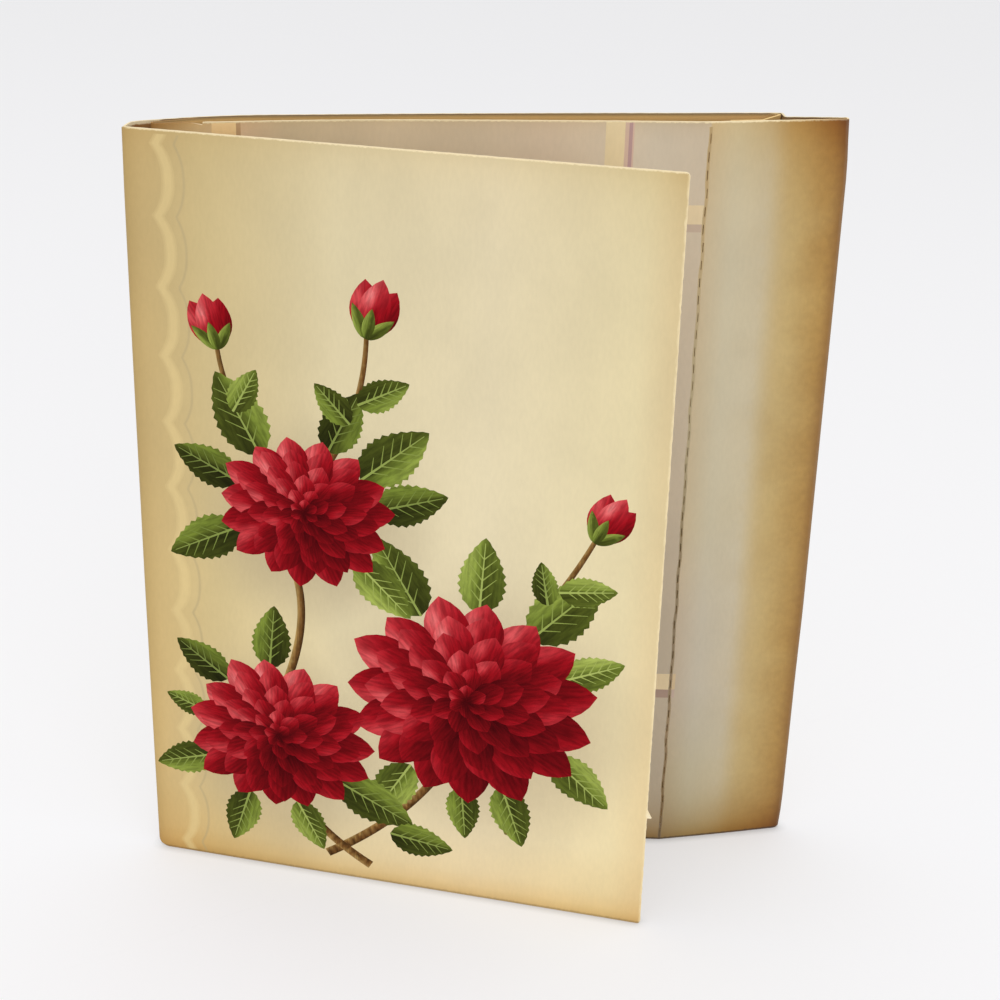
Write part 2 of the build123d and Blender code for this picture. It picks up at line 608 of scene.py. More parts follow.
def fold_up(sheet_points, side):
    """Places in the frame of sheet points on the printed face, side 1, or on the other face, side -1."""
    along = sheet_points[:, 0]
    height = sheet_points[:, 1]
    x = np.interp(along, run, line[:, 0]) - np.minimum(along, 0)
    y = np.interp(along, run, line[:, 1])
    x = x + side * paper / 2 * np.interp(along, run, faces_out[:, 0])
    y = y + side * paper / 2 * np.interp(along, run, faces_out[:, 1])
    reach = np.clip((cover_width + left_end + ripple_fade - x) / ripple_fade, 0, 1)
    wave_along = np.sin(x / ripple_lengths[0] + ripple_phases[0])
    wave_up = np.sin(height / ripple_lengths[1] + ripple_phases[1])
    y = y + ripple_depth * reach * (1 + wave_along * wave_up) / 2
    y = y + lean_depth * graded(along, lean_stops) * (2 * height / card_height - 1)
    near_spine = np.clip(1 - (x - left_end) / spine_press_width, 0, 1) ** 2
    near_fold = np.clip(1 - (right_end - x) / fold_press_width, 0, 1) ** 2
    x = x + near_spine * graded(height, spine_press) - near_fold * graded(height, fold_press)
    return np.stack([x, y, height], axis=1)


# Flat outline of the sheet, with its wear


def ragged(along, phase):
    """How far fibres are rubbed off a cut edge."""
    coarse = np.sin(along * ragged_turns[0] + phase)
    fine = np.sin(along * ragged_turns[1] + 2 * phase)
    return ragged_depth * (1 + 0.6 * coarse + 0.4 * fine) / 2


def worn(along, spine_radius, fold_radius_here):
    """How far the rounded corners of the folded ends are cut in from an edge."""
    x = np.interp(along, run, line[:, 0])
    depth = np.zeros_like(x)
    for radius, into in ((spine_radius, x - left_end), (fold_radius_here, right_end - x)):
        short = np.clip(radius - into, 0, radius)
        depth = depth + radius - np.sqrt(radius**2 - short**2)
    return depth


def lowest(along):
    """Height of the bottom edge."""
    return worn(along, lower_spine_corner_radius, lower_fold_corner_radius) + ragged(along, bottom_phase)


def highest(along):
    """Height of the top edge."""
    rounding = worn(along, upper_spine_corner_radius, upper_fold_corner_radius)
    return card_height - rounding - ragged(along, top_phase)


def filled(stops, step):
    """The stops with more put between them, so that no gap is longer than the step."""
    made = []
    for low, high in zip(stops, stops[1:]):
        count = max(1, math.ceil((high - low) / step))
        made.extend(low + (high - low) * k / count for k in range(count))
    return np.array([*made, stops[-1]])


folded_ends = [
    np.arange(middle - folded_end_reach, middle + folded_end_reach, folded_end_step)
    for middle in (spine_run, fold_run)
]
edge_stops = filled([cover_corner_radius, *run[1:]], edge_step)
edge_stops = np.unique(np.concatenate([edge_stops, *folded_ends]).round(2))
quarter = np.linspace(0, math.pi / 2, corner_points)[:-1]
corner_bend = cover_corner_radius * pairs(1 - np.cos(quarter), 1 - np.sin(quarter))
bottom_edge = pairs(edge_stops, lowest(edge_stops))
top_stops = edge_stops[abs(edge_stops - tear_run) > tear_length / 2 + tear_clearance]
top_edge = pairs(top_stops, highest(top_stops))
tear = np.array([
    (tear_run - tear_length / 2, card_height - ragged_depth),
    (tear_run - tear_length / 2 + tear_lip, card_height - tear_depth),
    (tear_run + tear_length / 2, card_height - ragged_depth),
])
top_edge = np.vstack([top_edge[top_stops < tear_run], tear, top_edge[top_stops > tear_run]])
end_heights = filled([lowest(sheet_length), highest(sheet_length)], column_step)[1:-1]
tab_end = pairs(sheet_length, end_heights)
free_heights = filled([cover_corner_radius, card_height - cover_corner_radius], free_edge_step)[1:-1]
free_heights = free_heights[abs(free_heights - flake_height) > flake_length / 2 + flake_clearance]
fray = free_edge_fray * dice.beta(*fray_shape, len(free_heights))
free_edge = pairs(ragged(free_heights, free_edge_phase) + fray, free_heights)
flake = np.array([
    (flake_root, flake_height - flake_length / 2),
    (-flake_reach, flake_height - flake_length / 2 + flake_lip),
    (flake_root, flake_height + flake_length / 2),
])
below_flake = free_edge[free_heights < flake_height]
above_flake = free_edge[free_heights > flake_height]
free_edge = np.vstack([below_flake, flake, above_flake])
top_bend = pairs(corner_bend[:, 0], card_height - corner_bend[:, 1])
outline = np.vstack([corner_bend, bottom_edge, tab_end, top_edge[::-1], top_bend[::-1], free_edge[::-1]])

# Slits, pointed at both ends


def slit_line(height):
    """Run of the perforated line at a height: it wanders a little from side to side."""
    steady, slow, quick = (np.sin(height / length + phase) for length, phase in line_sways)
    return slit_run + line_wander * (0.6 * steady + 0.4 * slow * quick)


slits = []
for place in range(slit_count):
    middle = card_height / 2 + (place - (slit_count - 1) / 2) * slit_pitch
    half_long = slit_length / 2 * dice.uniform(*slit_length_spread)
    width = slit_width * graded(middle, slit_openness) if place else lowest_slit_width
    half_wide = width / 2 * dice.uniform(*slit_width_spread)
    shape = [(0, -1), (1, -slit_point), (1, slit_point), (0, 1), (-1, slit_point), (-1, -slit_point)]
    across = slit_line(middle) + dice.uniform(-slit_wander, slit_wander)
    slits.append(np.array([(across + half_wide * a, middle + half_long * b) for a, b in shape]))


# Print: a list of outlines on the sheet, each with the paint inside it, from the lowest layer up
prints = []


def ramp(value, stops):
    """Colour at each value, blended between stops of place and colour."""
    places, colours = zip(*stops)
    return np.stack([np.interp(value, places, channel) for channel in zip(*colours)], axis=-1)


def bump(value, middle, width):
    """A soft bump: 1 at its middle, fading out on both sides."""
    return np.exp(-(((value - middle) / width) ** 2))


def flat_paint(colour):
    """Paint of one colour."""
    return lambda spots: (np.zeros((len(spots), 3)) + colour, np.zeros((len(spots), 3)))


def cover_tint(colour, strength):
    """Paint in cover points that lets some of the cover's ground show through."""

    def paint(spots):
        on_sheet = pairs(spine_run - spots[:, 0], spots[:, 1])
        tinted = cover_ground(on_sheet) * (1 - strength) + np.array(colour) * strength
        return tinted, np.zeros((len(spots), 3))

    return paint


def height_paint(tones):
    """Paint that changes with height."""
    return lambda spots: (ramp(spots[:, 1], tones), np.zeros((len(spots), 3)))


def strip(middles, widths):
    """Outline of a strip of given widths along a line of points."""
    along = np.gradient(middles, axis=0)
    along /= np.linalg.norm(along, axis=1)[:, None]
    out = pairs(-along[:, 1], along[:, 0]) * np.asarray(widths)[:, None] / 2
    return np.vstack([middles + out, (middles - out)[::-1]])


def add_cover_print(cover_outline, paint):
    """Adds a print whose outline and paint are in cover points."""
    flipped = np.array([-1.0, 1.0])
    shift = np.array([spine_run, 0.0])
    prints.append((cover_outline * flipped + shift, lambda spots: paint((spots - shift) * flipped)))


def add_blade(base, heading, length, width, fullness, paint_local, teeth=0.0):
    """Adds a petal or leaf. Its paint takes the share along it and the share across it."""
    base = np.array(base)
    along = turned((1.0, 0.0), heading)
    across = turned((0.0, 1.0), heading)
    share = np.linspace(0, 1, toothed_points if teeth else blade_points)
    half = width / 2 * np.sin(np.pi * share**fullness) ** blade_roundness
    half = half * (1 + teeth * (np.arange(len(share)) % 2))
    left_side = base + np.outer(share * length, along) + np.outer(half, across)
    right_side = base + np.outer(share * length, along) - np.outer(half, across)
    seed = dice.uniform(0, stroke_places)

    def paint(spots):
        local = spots - base
        share_along = local @ along / length
        share_across = local @ across / (width / 2)
        stroke_along = share_along * length * stroke_stretch + seed
        brush = np.stack([stroke_along, share_across * stroke_rows, np.ones(len(spots))], axis=1)
        return paint_local(share_along, share_across), brush

    add_cover_print(np.vstack([left_side, right_side[-2:0:-1]]), paint)


def petal_paint(tone, lit_side):
    """Paint of a cupped petal: deep at its base, with a fold down its middle and pale rims."""

    def paint(along, across):
        fold = bump(across, 0, petal_fold_width) * np.clip(1 - along, 0, 1)
        rim = np.clip(abs(across), 0, 1) ** 3 * along
        gleam = bump(along, gleam_place[0], gleam_size[0])
        gleam = gleam * bump(across, gleam_place[1] * lit_side, gleam_size[1])
        shadow = np.clip(-across * lit_side, 0, 1) ** 2 + bump(along, 0, petal_base_shadow)
        light = tone + petal_tip_light * along + petal_side_light * lit_side * across
        light = light - petal_fold_depth * fold + petal_rim_light * rim - petal_shadow_depth * shadow
        return ramp(light + gleam_strength * max(tone, 0) * gleam, petal_tones)

    return paint


def leaf_paint(tone, lit_side):
    """Paint of a leaf: one half in the light, with a hollow down its middle."""

    def paint(along, across):
        lit_half = lit_side * np.tanh(leaf_side_edge * across)
        light = tone + leaf_side_light * lit_half + leaf_tip_light * along
        light = light - leaf_hollow_depth * bump(across, 0, leaf_hollow_width) + leaf_rim_light * abs(across)
        return ramp(light, leaf_tones)

    return paint


def add_leaf(base, heading, length, tone):
    """Adds a toothed leaf with its midrib and side veins."""
    width = leaf_width * length
    paint = leaf_paint(tone, dice.choice([-1, 1]))
    add_blade(base, heading, length, width, leaf_fullness, paint, leaf_teeth)
    vein_tone = ramp(np.array([tone + vein_light]), leaf_tones)[0]
    out = turned((1.0, 0.0), heading)
    for place in vein_places:
        foot = np.array(base) + place * length * out
        reach = vein_reach * width * math.sin(math.pi * place**leaf_fullness)
        for turn_out in (-vein_angle, vein_angle):
            tip = foot + reach * turned((1.0, 0.0), heading + turn_out)
            vein = strip(np.linspace(foot, tip, vein_points), np.linspace(*vein_widths, vein_points))
            add_cover_print(vein, flat_paint(vein_tone))
    share = np.linspace(0, midrib_reach, midrib_points)
    middles = np.array(base) + np.outer(share * length, out)
    midrib = strip(middles, midrib_width - midrib_narrowing * share)
    add_cover_print(midrib, flat_paint(vein_tone + midrib_glow))


def add_stem(start, bend, end, start_width, end_width):
    """Adds a curved stem, lit along one side."""
    share = np.linspace(0, 1, stem_points)[:, None]
    middles = (1 - share) ** 2 * np.array(start) + 2 * share * (1 - share) * np.array(bend)
    middles = middles + share**2 * np.array(end)
    widths = start_width + (end_width - start_width) * share[:, 0]

    def paint(spots):
        nearest = np.argmin(np.linalg.norm(spots[:, None] - middles[None], axis=2), axis=1)
        light = stem_light - (spots[:, 0] - middles[nearest, 0]) / start_width
        brush = np.stack([spots[:, 1] * stem_stroke_stretch, spots[:, 0], np.ones(len(spots))], axis=1)
        return ramp(light, stem_tones), brush

    add_cover_print(strip(middles, widths), paint)


def add_bud(x, z, heading, length):
    """Adds a closed bud: a few petals held in pointed sepals."""
    for spread, share, tone in bud_petals:
        width = bud_petal_width * length
        add_blade((x, z), heading + spread, share * length, width, bud_fullness, petal_paint(tone, 1))
    for spread, share in bud_sepals:
        width = sepal_width * length
        add_blade((x, z), heading + spread, share * length, width, sepal_fullness, leaf_paint(sepal_tone, 1))


def add_bloom(x, z, reach, first_heading):
    """Adds a many-petalled bloom, ring on ring from the outside in."""
    for ring, (count, inner, outer, width) in enumerate(petal_rings):
        for place in range(count):
            heading = 360 * (place + dice.uniform(-petal_swing, petal_swing)) / count
            heading = first_heading + ring_twist * ring + heading
            out = turned((1.0, 0.0), heading) * np.array([1.0, bloom_squash])
            base = np.array([x, z]) + inner * reach * out
            length = (outer * dice.uniform(*petal_length_spread) - inner) * reach * np.linalg.norm(out)
            aim = math.degrees(math.atan2(out[1], out[0]))
            lit = math.cos(math.radians(aim - light_heading))
            tone = petal_tone + petal_turn_light * lit - ring_darkening * ring
            tone = tone + dice.uniform(-petal_tone_spread, petal_tone_spread)
            paint = petal_paint(tone, math.copysign(1, lit))
            add_blade(base, aim, length, width * reach, petal_fullness, paint)


def arcs(height, cusp, bulge):
    """Distance from the spine of a scalloped line at a height."""
    share = ((scallop_top - height) / scallop_period) % 1
    return cusp + bulge * (1 - abs(2 * share - 1) ** scallop_roundness)


def box_outline(left, right, low, high):
    """Outline of a box on the page, with points close enough to bend with the sheet."""
    corners = np.array([(left, low), (right, low), (right, high), (left, high)])
    sides = []
    for start, end in zip(corners, np.roll(corners, -1, axis=0)):
        count = math.ceil(np.linalg.norm(end - start) / page_step)
        sides.append(start + np.outer(np.arange(count) / count, end - start))
    return np.vstack(sides)


# Scalloped border
border_heights = np.arange(border_inset, card_height - border_inset, border_step)
for cusp, bulge, layers, colour in (
    (scallop_cusp, scallop_bulge, scallop_layers, scallop_colour),
    (hairline_cusp, hairline_bulge, hairline_layers, hairline_colour),
):
    middle = arcs(border_heights, cusp, bulge)
    for width, strength in layers:
        left_side = pairs(middle - width / 2, border_heights)
        right_side = pairs(middle + width / 2, border_heights)
        add_cover_print(np.vstack([left_side, right_side[::-1]]), cover_tint(colour, strength))

# Flower sprays
for stem in stems:
    add_stem(*stem)
for (x, z, reach, first_heading), leaves in zip(blooms, bloom_leaves):
    for heading, length in leaves:
        base = np.array([x, z]) + bloom_leaf_start * reach * turned((1.0, 0.0), heading)
        heading = heading + dice.uniform(-leaf_swing, leaf_swing)
        add_leaf(base, heading, length, dice.uniform(*bloom_leaf_tones))
for x, z, heading, length in stem_leaves:
    add_leaf((x, z), heading, length, dice.uniform(*stem_leaf_tones))
for bud in buds:
    add_bud(*bud)
for bloom in blooms:
    add_bloom(*bloom)

# Striped frame on the page
page_span = (slit_run + stripe_gap, page_end_run - stripe_end_gap)
page_rise = (stripe_edge_gap, card_height - stripe_edge_gap)
for lie, start, end, colour in page_stripes:
    if lie == "upright":
        box = (page_end_run - end, page_end_run - start, *page_rise)
    else:
        box = (*page_span, start, end)
    prints.append((box_outline(*box), flat_paint(colour)))
for start, end, colour in overrun_stripes:
    prints.append((box_outline(slit_run - overrun, page_span[0], start, end), flat_paint(colour)))

# Crease along the slits: painted shade of the bend with some bruising, darker in the lower half where the
# crease gapes
crease_heights = np.arange(crease_end_gaps[0], card_height - crease_end_gaps[1], crease_step)
for width, tones in ((crease_width, crease_shade_tones), (crease_core_width, crease_core_shade_tones)):
    crease_middles = pairs(slit_line(crease_heights), crease_heights)
    crease_widths = width * dice.uniform(*crease_width_spread, len(crease_heights))
    prints.append((strip(crease_middles, crease_widths), height_paint(tones)))


# Ground colours of the sheet
blotch_places = np.stack([
    dice.uniform(fold_run, slit_run, blotch_count),
    dice.uniform(0, card_height, blotch_count),
    dice.uniform(*blotch_sizes, blotch_count),
    dice.normal(0, blotch_depth, blotch_count),
], axis=1)


def near(distance, reach):
    """1 at no distance, fading out over the reach."""
    return np.exp(-distance / reach)


def near_edges(spots, reach):
    """1 at the top and bottom edges, fading out over the reach."""
    return near(np.minimum(spots[:, 1], card_height - spots[:, 1]), reach)


def browned(colour, share, depth=toned_margin):
    """The colour, darkened by a share of the depth of each channel."""
    return colour * (1 - np.outer(share, depth))


def blotches(spots):
    """Uneven browning: soft spots, darker or paler than the paper round them."""
    total = np.zeros(len(spots))
    for along, height, size, depth in blotch_places:
        total = total + depth * bump(np.hypot(spots[:, 0] - along, spots[:, 1] - height), 0, size)
    return total


def cover_ground(spots):
    """Colour of the cover's ground, toned at the spine and the edges, paler towards the bottom as painted
    light, and shaded round the print.
    """
    x = spine_run - spots[:, 0]
    z = spots[:, 1]
    colour = ramp(x, cover_across) * ramp(z, edge_toning)
    colour = colour * (1 - top_toning + top_toning * ramp(card_height - z, edge_toning))
    # Painted light: the cover is paler towards the bottom
    colour = colour * graded(z, cover_light_by_height)[:, None]
    colour = browned(colour, near(spots[:, 0] + card_height - z, corner_toning_reach), corner_toning)
    shade = np.zeros(len(spots))
    for bloom_x, bloom_z, reach, first_heading in blooms:
        away = np.hypot(x - bloom_x - shade_shift[0], (z - bloom_z - shade_shift[1]) / shade_squash)
        shade = np.maximum(shade, np.exp(-((away / (reach * shade_reach)) ** 4)))
    shade = shade_strength * shade[:, None]
    colour = colour * (1 - shade) + shade_colour * shade
    colour[spots[:, 0] < 0] = torn_core
    return colour


def margin_ground(spots):
    """Colour of the margin strip, browned unevenly towards the fold, the top and the bottom."""
    share = np.clip((slit_run - spots[:, 0]) / (slit_run - fold_run), 0, 1)
    from_top = card_height - spots[:, 1]
    paleness = graded(share, margin_paleness)
    colour = ramp(share, margin_across) * (1 + graded(from_top, margin_glow) * paleness)[:, None]
    colour[:, 2] *= 1 + graded(from_top, margin_cooling) * paleness
    near_crease = near(share, margin_crease_share) * near(spots[:, 1], margin_crease_reach)
    colour = colour * (1 - margin_crease_shade * near_crease)[:, None]
    near_top = near(from_top, margin_top_reach)
    colour = browned(colour, near_top, margin_top_yellowing)
    top = near_top * (margin_top_browning * share**1.5 - margin_top_paleness)
    bottom = near(spots[:, 1], margin_bottom_reach) * graded(share, margin_bottom_browning)
    uneven = blotches(spots) * graded(share, margin_blotching)
    return browned(colour, np.maximum(top, bottom) + uneven)


def page_ground(spots):
    """Colour of the page, toned along the top and the bottom, and darkened towards the bottom by painted
    shade.
    """
    near_fold = near(page_end_run - spots[:, 0], inner_fold_reach)
    top = graded(near_fold, page_top_browning) * near(card_height - spots[:, 1], page_top_reach)
    bottom = page_bottom_browning * near(spots[:, 1], page_bottom_reach)
    # Painted shade: the page grows darker towards the bottom
    colour = ramp(page_end_run - spots[:, 0], page_across) * graded(spots[:, 1], page_shade_by_height)[:, None]
    return browned(colour, np.maximum(top, bottom))


def back_ground(spots):
    """Colour of the back, plain and toned towards its folds and edges."""
    from_fold = np.minimum(spots[:, 0] - back_run, fold_run - spots[:, 0])
    return browned(ramp(from_fold, back_across), back_edge_browning * near_edges(spots, back_edge_reach))


def printed_ground(spots):
    """Ground colour of the printed face."""
    along = spots[:, 0]
    colour = np.zeros((len(spots), 3)) + plain_side
    for low, high, ground in (
        (sheet_start, spine_run, cover_ground),
        (spine_run, fold_run, back_ground),
        (fold_run, slit_run, margin_ground),
        (slit_run, page_end_run, page_ground),
    ):
        here = (along >= low) & (along < high)
        colour[here] = ground(spots[here])
    colour[along >= page_end_run] = lining_outside
    return colour


def plain_ground(spots):
    """Ground colour of the unprinted face: tan on the lining, with painted shade deeper down the lining and
    inside the folds.
    """
    colour = np.zeros((len(spots), 3)) + plain_side
    # Painted shade: the lining darkens below its top edge, down in the gap behind the page
    lining = spots[:, 0] > page_end_run
    depth = np.clip((card_height - spots[lining, 1]) / lining_shade_reach, 0, 1)
    colour[lining] = ramp(depth, [(0, lining_side), (1, lining_deep_shade)])
    # Painted shade inside the folds of the unprinted face, at the right-hand fold and in the spine
    near_fold = np.clip(1 - abs(spots[:, 0] - fold_run) / fold_shade_reach, 0, 1)
    near_spine = np.clip(1 - abs(spots[:, 0] - back_run) / spine_shade_reach, 0, 1)
    near_fold = np.maximum(near_fold, near_spine)[:, None]
    colour = colour * (1 - near_fold) + np.array(fold_inside_shade) * near_fold
    return browned(colour, plain_edge_browning * near_edges(spots, plain_edge_reach))


def cut_edge_ground(spots):
    """Colour of the sheet's cut edges, browner at the folds and on the lining, with pale slit walls."""
    along = spots[:, 0]
    height = spots[:, 1]
    colour = np.array(cut_edge, float) * dice.uniform(*cut_edge_spread, (len(spots), 1))
    margin = (along > fold_run) & (along < slit_run)
    colour[margin] = ramp(along[margin], [(fold_run, fold_cut_edge), (slit_run - fold_cut_gap, cut_edge)])
    colour[along > tear_run] = old_cut_edge
    colour[along > page_end_run + lining_cut_start] = lining_cut_edge
    colour[along > tip_run - tip_cut_reach] = riser_cut_edge
    off_ends = (height > clear_of_slit_ends) & (height < card_height - clear_of_slit_ends)
    colour[off_ends & (abs(along - slit_run) < clear_of_slits)] = slit_wall
    return colour


# Flat triangulation


def inside(spots, polygon):
    """Which spots lie in the polygon."""
    found = np.zeros(len(spots), bool)
    x, z = spots[:, 0], spots[:, 1]
    for (x0, z0), (x1, z1) in zip(polygon, np.roll(polygon, -1, axis=0)):
        if z0 == z1:
            continue
        crosses = (z0 > z) != (z1 > z)
        found ^= crosses & (x < x0 + (z - z0) / (z1 - z0) * (x1 - x0))
    return found


def inside_box(spots, polygon):
    """Indexes of the spots in the polygon, looked for in its box only."""
    low, high = polygon.min(axis=0), polygon.max(axis=0)
    near = np.flatnonzero(((spots >= low) & (spots <= high)).all(axis=1))
    return near[inside(spots[near], polygon)]


def scatter(start, end, step):
    """Loose grid of points between two runs of the sheet."""
    made = []
    for place, height in enumerate(np.arange(clear_of_bottom, card_height, step * row_share)):
        along = np.arange(start + step / 2 * (place % 2), end, step)
        made.append(pairs(along, height))
    made = np.vstack(made)
    return made + dice.uniform(-scatter_jitter, scatter_jitter, made.shape) * step


flat_points = []
flat_edges = []


def add_line(new_points, closed):
    """Adds a line of fixed edges."""
    first = len(flat_points)
    flat_points.extend(map(tuple, new_points))
    count = len(new_points)
    flat_edges.extend((first + k, first + k + 1) for k in range(count - 1))
    if closed:
        flat_edges.append((first + count - 1, first))


add_line(outline, True)
for slit in slits:
    add_line(slit, True)
for along, is_tight in zip(run, tight):
    if is_tight and abs(along - slit_run) > clear_of_columns:
        heights = filled([lowest(along), highest(along)], column_step)
        add_line(pairs(along, heights), False)
for print_outline, paint in prints:
    add_line(print_outline, True)

cover_zone = (clear_of_ends, spine_run - clear_of_spine)
zones = [
    (*cover_zone, cover_step),
    (back_run + clear_of_back, fold_run - clear_of_folds, hidden_step),
    (fold_run + clear_of_folds, slit_run - clear_of_crease, cover_step),
    (slit_run + clear_of_crease, page_end_run - clear_of_folds, page_step),
    (page_end_run + clear_of_folds, sheet_length - clear_of_ends, hidden_step),
]
loose = [scatter(*zone) for zone in zones]
picture = scatter(*cover_zone, print_step)
painted = np.zeros(len(picture), bool)
for print_outline, paint in prints:
    painted[inside_box(picture, print_outline)] = True
loose.append(picture[painted])
loose = np.vstack(loose)
clear = (loose[:, 1] > clear_of_edges) & (loose[:, 1] < card_height - clear_of_edges - tear_depth)
flat_points.extend(map(tuple, loose[clear]))

cut = delaunay_2d_cdt([Vector(point) for point in flat_points], flat_edges, [], 0, merge_distance)
flat = np.array([tuple(point) for point in cut[0]])
triangles = np.array([face for face in cut[2] if len(face) == 3])
first, second, third = (flat[triangles[:, k]] for k in range(3))
area = np.cross(second - first, third - first)
triangles[area < 0] = triangles[area < 0][:, ::-1]
middles = flat[triangles].mean(axis=1)
keep = inside(middles, outline)
for slit in slits:
    keep[inside_box(middles, slit)] = False
keep &= abs(area) > smallest_area
triangles = triangles[keep]
middles = middles[keep]

# Paint of every corner of every triangle
spots = flat[triangles].reshape(-1, 2)
printed = printed_ground(spots)
brushed = np.zeros((len(spots), 3))
owner = np.full(len(triangles), -1)
for place, (print_outline, paint) in enumerate(prints):
    owner[inside_box(middles, print_outline)] = place
for place, (print_outline, paint) in enumerate(prints):
    mine = np.repeat(owner == place, 3)
    if mine.any():
        printed[mine], brushed[mine] = paint(spots[mine])
plain = plain_ground(spots)


# Mesh
directed = np.vstack([triangles[:, [0, 1]], triangles[:, [1, 2]], triangles[:, [2, 0]]])
known = {(a, b) for a, b in directed.tolist()}
rims = np.array([(a, b) for a, b in directed.tolist() if (b, a) not in known])
count = len(flat)
places = np.vstack([fold_up(flat, 1), fold_up(flat, -1)]) * metre
places = np.clip(places, np.array(cad_low), np.array(cad_high))
walls = np.stack([rims[:, 1] + count, rims[:, 0] + count, rims[:, 0], rims[:, 1]], axis=1)
faces = triangles[:, ::-1].tolist() + (triangles + count).tolist() + walls.tolist()
used = np.unique(np.concatenate([triangles.ravel(), triangles.ravel() + count]))
renumber = np.zeros(2 * count, int)
renumber[used] = np.arange(len(used))
faces = [[int(renumber[k]) for k in face] for face in faces]

mesh = bpy.data.meshes.new("printed_card")
mesh.from_pydata(places[used].tolist(), [], faces)
card = bpy.data.objects.new("printed_card", mesh)
bpy.context.scene.collection.objects.link(card)


def linear(colour):
    """Scene-linear value of a display colour out of 255."""
    share = np.clip(colour / 255, 0, 1)
    return np.where(share <= 0.04045, share / 12.92, ((share + 0.055) / 1.055) ** 2.4)


wall_spots = flat[np.stack([rims[:, 1], rims[:, 0], rims[:, 0], rims[:, 1]], axis=1)].reshape(-1, 2)
wall_colour = cut_edge_ground(wall_spots)
reverse = np.arange(len(spots)).reshape(-1, 3)[:, ::-1].ravel()
all_colours = np.vstack([printed[reverse], plain, wall_colour])
all_brushes = np.vstack([brushed[reverse], np.zeros((len(plain) + len(wall_colour), 3))])
all_spots = np.vstack([spots[reverse], spots, wall_spots])
is_front = np.repeat([on_front, on_back, on_wall], [len(spots), len(spots), len(wall_spots)])

colour_layer = mesh.color_attributes.new("print", "FLOAT_COLOR", "CORNER")
rgba = np.hstack([linear(all_colours), np.ones((len(all_colours), 1))])
colour_layer.data.foreach_set("color", rgba.astype(np.float32).ravel())
brush_layer = mesh.attributes.new("brush", "FLOAT_VECTOR", "CORNER")
brush_layer.data.foreach_set("vector", all_brushes.astype(np.float32).ravel())
front_layer = mesh.attributes.new("front", "FLOAT", "CORNER")
front_layer.data.foreach_set("value", is_front.astype(np.float32))

# The map for baked pictures lays the printed face over the other face, with a larger share for the cover
on_face = is_front == on_front
stretch_at = [sheet_start, spine_run, sheet_length]
front_places = np.interp(all_spots[:, 0], stretch_at, front_columns)
plain_places = np.interp(all_spots[:, 0], stretch_at, plain_columns)
rise = all_spots[:, 1] / card_height
rows = np.where(on_face, front_rows[0] + front_rows[1] * rise, plain_rows[0] + plain_rows[1] * rise)
bake = pairs(np.where(on_face, front_places, plain_places), rows)
bake[2 * len(spots) :, 1] = np.tile(wall_rows, len(rims))
for name, map_places in (("sheet", all_spots / map_scale), ("OFBake", bake)):
    mesh_map = mesh.uv_layers.new(name=name)
    mesh_map.data.foreach_set("uv", map_places.astype(np.float32).ravel())
mesh.validate()
mesh.update()


# Material


class Shader:
    """Adds nodes to a node tree. Values are sockets, or plain numbers and colours."""

    def __init__(self, tree):
        self.tree = tree

    def fill(self, node, values):
        """Sets or links a node's inputs, which are given by name or by number."""
        for name, value in values.items():
            if isinstance(value, bpy.types.NodeSocket):
                self.tree.links.new(value, node.inputs[name])
            else:
                node.inputs[name].default_value = value

    def node(self, kind, values):
        """A new node with its inputs filled."""
        node = self.tree.nodes.new("ShaderNode" + kind)
        self.fill(node, values)
        return node

    def math(self, operation, first, second=0.0):
        """The result of an operation on one or two values."""
        node = self.node("Math", {0: first, 1: second})
        node.operation = operation
        return node.outputs[0]

    def times(self, *values):
        """The values multiplied together."""
        product = values[0]
        for value in values[1:]:
            product = self.math("MULTIPLY", product, value)
        return product

    def plus(self, first, second, share):
        """A value and a share of another."""
        return self.math("ADD", first, self.times(second, share))

    def ease(self, value, low, high, start, end):
        """A smooth change from start to end as the value goes from low to high."""
        limits = {"From Min": low, "From Max": high, "To Min": start, "To Max": end}
        node = self.node("MapRange", {"Value": value, **limits})
        node.interpolation_type = "SMOOTHSTEP"
        return node.outputs["Result"]

    def noise(self, place, scale, detail, stretch=(1, 1, 1)):
        """Noise at a place, stretched along its axes."""
        stretched = self.node("Mapping", {"Vector": place, "Scale": stretch}).outputs["Vector"]
        return self.node("TexNoise", {"Vector": stretched, "Scale": scale, "Detail": detail}).outputs["Fac"]

    def mix(self, share, first, second, blend="MIX"):
        """A colour mix, whose colours are its inputs 6 and 7 and its output 2."""
        node = self.node("Mix", {})
        node.data_type = "RGBA"
        node.blend_type = blend
        self.fill(node, {0: share, 6: first, 7: second})
        return node.outputs[2]

    def shaded(self, colour, value):
        """A colour made brighter or darker by a value."""
        grey = self.node("CombineColor", {0: value, 1: value, 2: value})
        return self.mix(1.0, colour, grey.outputs[0], "MULTIPLY")

    def split(self, vector):
        """The three parts of a vector."""
        return self.node("SeparateXYZ", {0: vector}).outputs[:]

    def layer(self, name, output):
        """A layer of the mesh."""
        node = self.node("Attribute", {})
        node.attribute_name = name
        return node.outputs[output]


